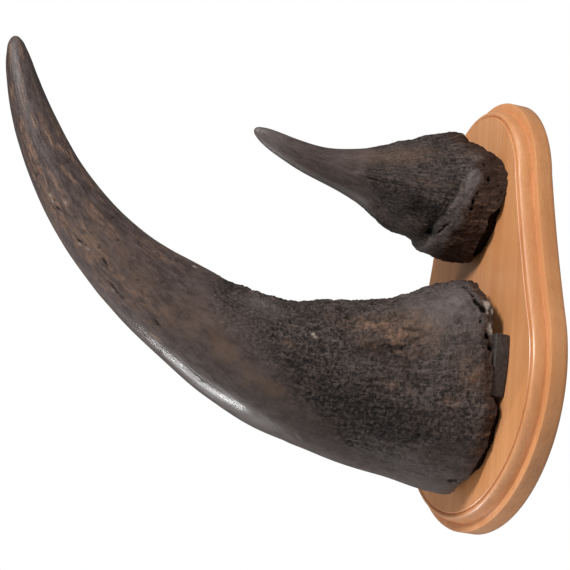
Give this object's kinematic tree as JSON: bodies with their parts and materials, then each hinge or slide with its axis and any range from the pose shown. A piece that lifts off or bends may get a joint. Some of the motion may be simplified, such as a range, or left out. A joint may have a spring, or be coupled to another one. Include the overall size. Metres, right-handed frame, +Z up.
{
  "type": "rhinoceros horn wall mount",
  "caption": "Long curved front horn and short rear horn of a rhinoceros, rough at the base and smooth at the tip, fixed side by side up a pear-shaped wooden wall plaque with a moulded edge.",
  "frame": {"origin": "centre of the plaque's flat back face, which lies against the wall", "axes": "+Z up the wall, +Y out of the plaque's back into the wall, +X across the plaque; the horns grow towards -Y and the front horn's tip curves up towards +Z"},
  "size_m": [0.2808, 0.507, 0.417],
  "materials": {
    "plaque": "satin varnish",
    "front_mounting_block": "dark matt stain",
    "rear_mounting_block": "dark matt stain",
    "front_horn": "natural keratin, matt at the base and polished towards the tip",
    "rear_horn": "natural keratin, matt at the base and polished towards the tip"
  },
  "bodies": {
    "root": {"plaque": "plaque", "front_mounting_block": "front_mounting_block", "rear_mounting_block": "rear_mounting_block", "front_horn": "front_horn", "rear_horn": "rear_horn"}
  },
  "joints": []
}
